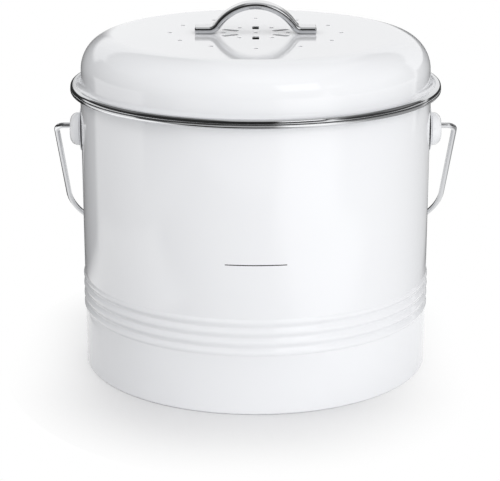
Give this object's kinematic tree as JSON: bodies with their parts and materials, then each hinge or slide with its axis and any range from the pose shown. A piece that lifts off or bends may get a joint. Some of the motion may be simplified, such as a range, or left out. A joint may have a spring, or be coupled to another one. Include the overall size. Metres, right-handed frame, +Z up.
{
  "type": "kitchen compost bin",
  "caption": "Round coated-steel countertop compost bin with rolled ribs, a swinging wire bail on domed ears, and a vented lift-off lid with a strap handle and charcoal filter.",
  "frame": {"origin": "middle of the ring that the pail stands on, at table height", "axes": "+Z up, -Y towards the front of the bin, X along the bail's pivot axis"},
  "size_m": [0.2328, 0.2112, 0.2105],
  "materials": {
    "white_coating": "glossy white baked coating on sheet steel",
    "polished_steel": "mirror-polished stainless steel",
    "plated_steel": "satin zinc-plated steel",
    "charcoal_foam": "open-cell foam loaded with activated charcoal"
  },
  "bodies": {
    "pail": {"pail_wall": "white_coating", "pail_floor": "white_coating", "pail_rim_band": "polished_steel", "right_ear": "white_coating", "left_ear": "white_coating"},
    "lid": {"lid_shell": "white_coating", "lid_rim_band": "polished_steel", "lid_collar": "white_coating", "lid_handle": "polished_steel", "handle_screws": "plated_steel", "handle_washers": "plated_steel", "charcoal_filter": "charcoal_foam", "filter_clip_1": "plated_steel", "filter_clip_2": "plated_steel", "filter_clip_3": "plated_steel", "filter_clip_4": "plated_steel"},
    "bail": {"bail_wire": "polished_steel"}
  },
  "joints": [
    {"name": "lid_lift", "type": "slide", "parent": "pail", "child": "lid", "axis": [0, 0, 1], "range_m": [0, 0.08]},
    {"name": "bail_swing", "type": "hinge", "parent": "pail", "child": "bail", "pos_m": [0, 0, 0.1387], "axis": [1, 0, 0], "range_deg": [0, 266]}
  ]
}
